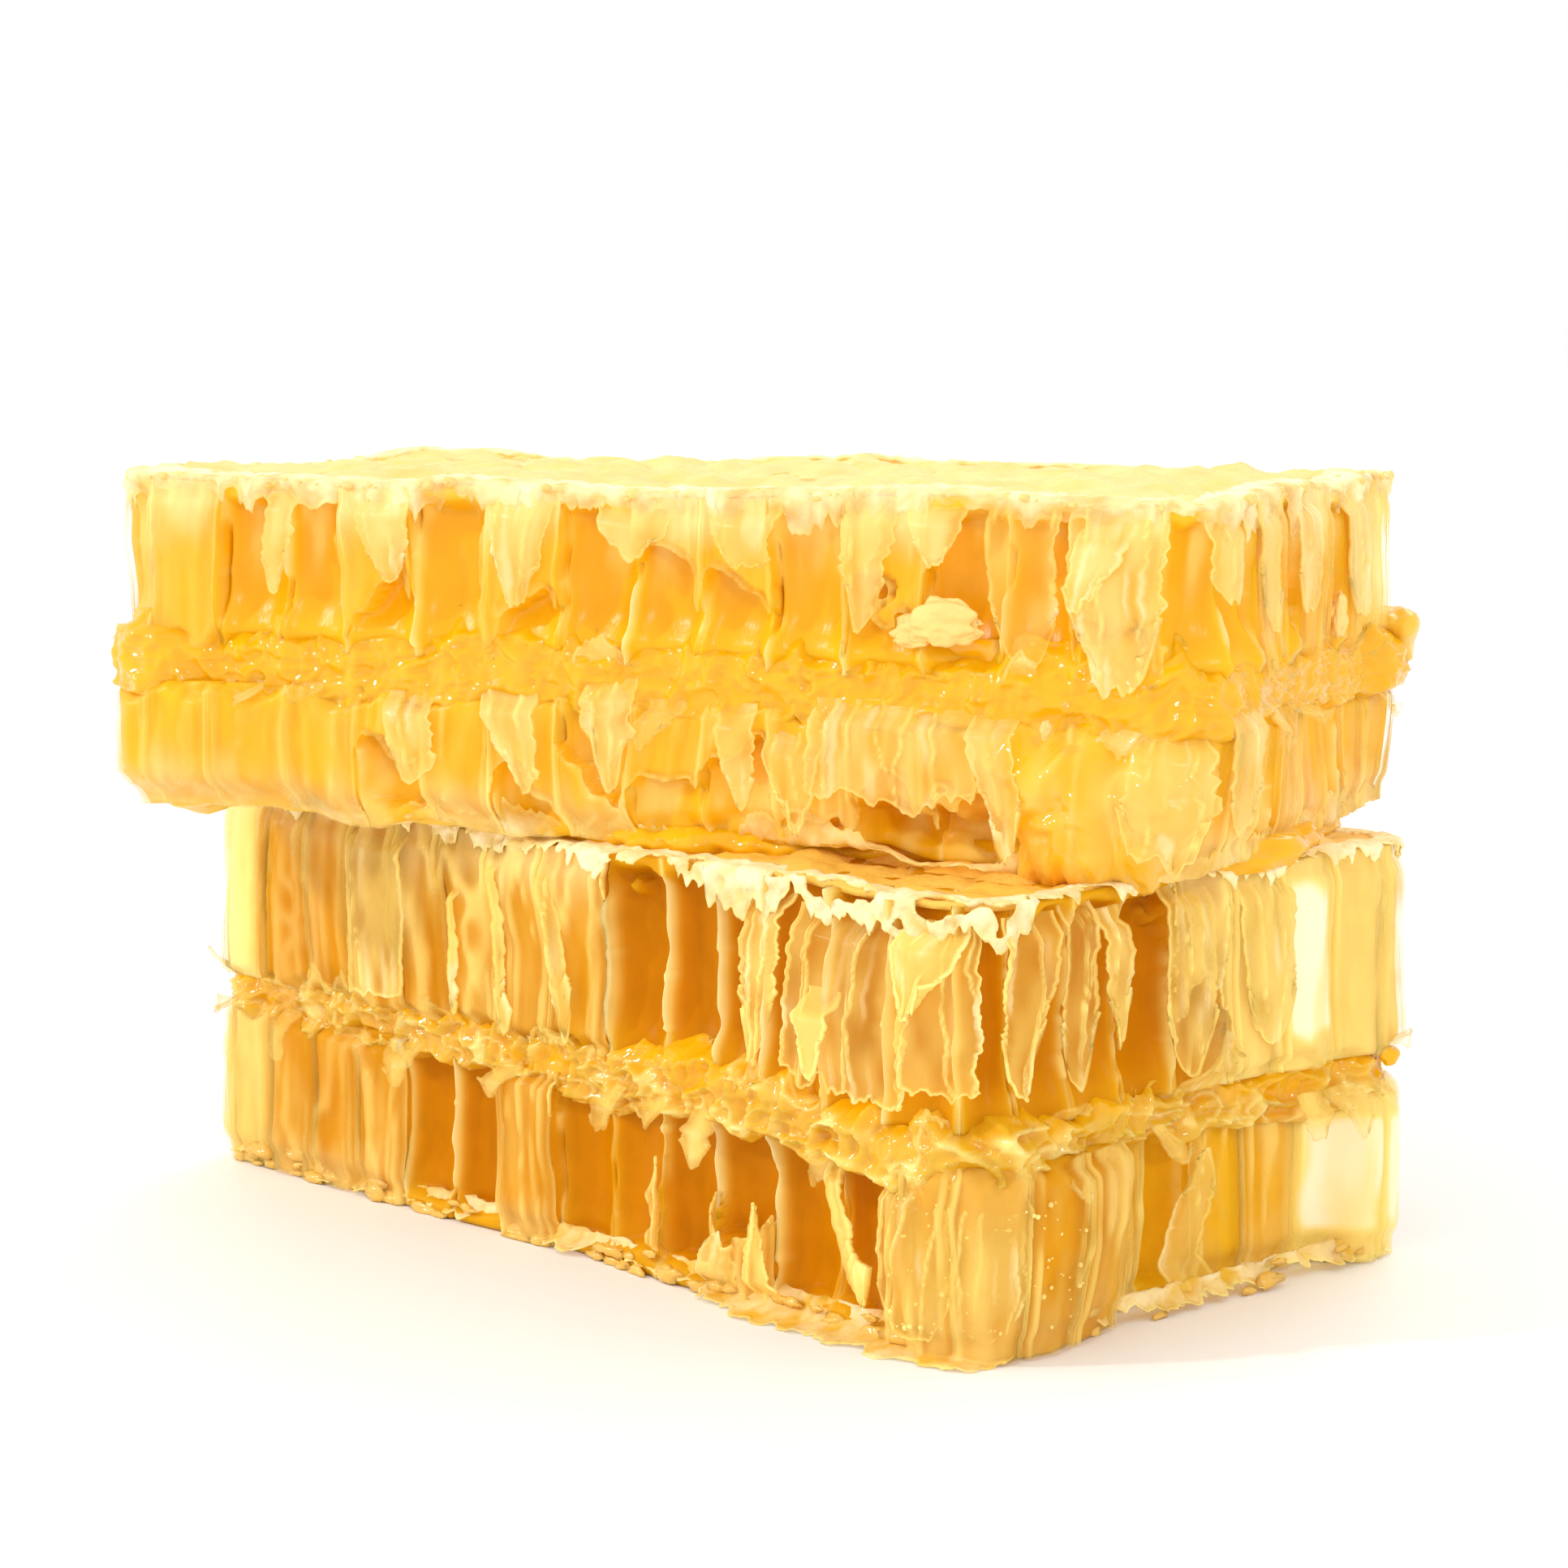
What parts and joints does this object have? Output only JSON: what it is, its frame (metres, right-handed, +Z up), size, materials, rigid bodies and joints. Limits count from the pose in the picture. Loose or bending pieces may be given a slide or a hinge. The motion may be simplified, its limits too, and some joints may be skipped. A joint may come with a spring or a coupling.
{
  "type": "honeycomb piece",
  "caption": "Rough block of cut comb honey: a capped slab of comb lying turned on another, with cut sides that show honey-filled cells, thin wax walls and torn caps.",
  "frame": {"origin": "middle of the lower slab's flat underside, on the surface it rests on", "axes": "+X along the lower slab's long side, +Z up through both slabs; the upper slab is turned 22.4 degrees about +Z"},
  "size_m": [0.0873, 0.0663, 0.0493],
  "materials": {
    "lower_cells_honey": "wet amber honey behind thin wax walls",
    "upper_cells_honey": "wet golden honey behind thin wax walls",
    "midrib_wax": "lumpy yellow wax wet with honey",
    "capping_wax": "pale cream wax, rough and wrinkled"
  },
  "bodies": {
    "root": {"lower_bottom_capping": "capping_wax", "lower_bottom_cells": "lower_cells_honey", "lower_midrib": "midrib_wax", "lower_top_cells": "lower_cells_honey", "lower_top_capping": "capping_wax", "upper_bottom_capping": "capping_wax", "upper_bottom_cells": "upper_cells_honey", "upper_midrib": "midrib_wax", "upper_top_cells": "upper_cells_honey", "upper_top_capping": "capping_wax"}
  },
  "joints": []
}
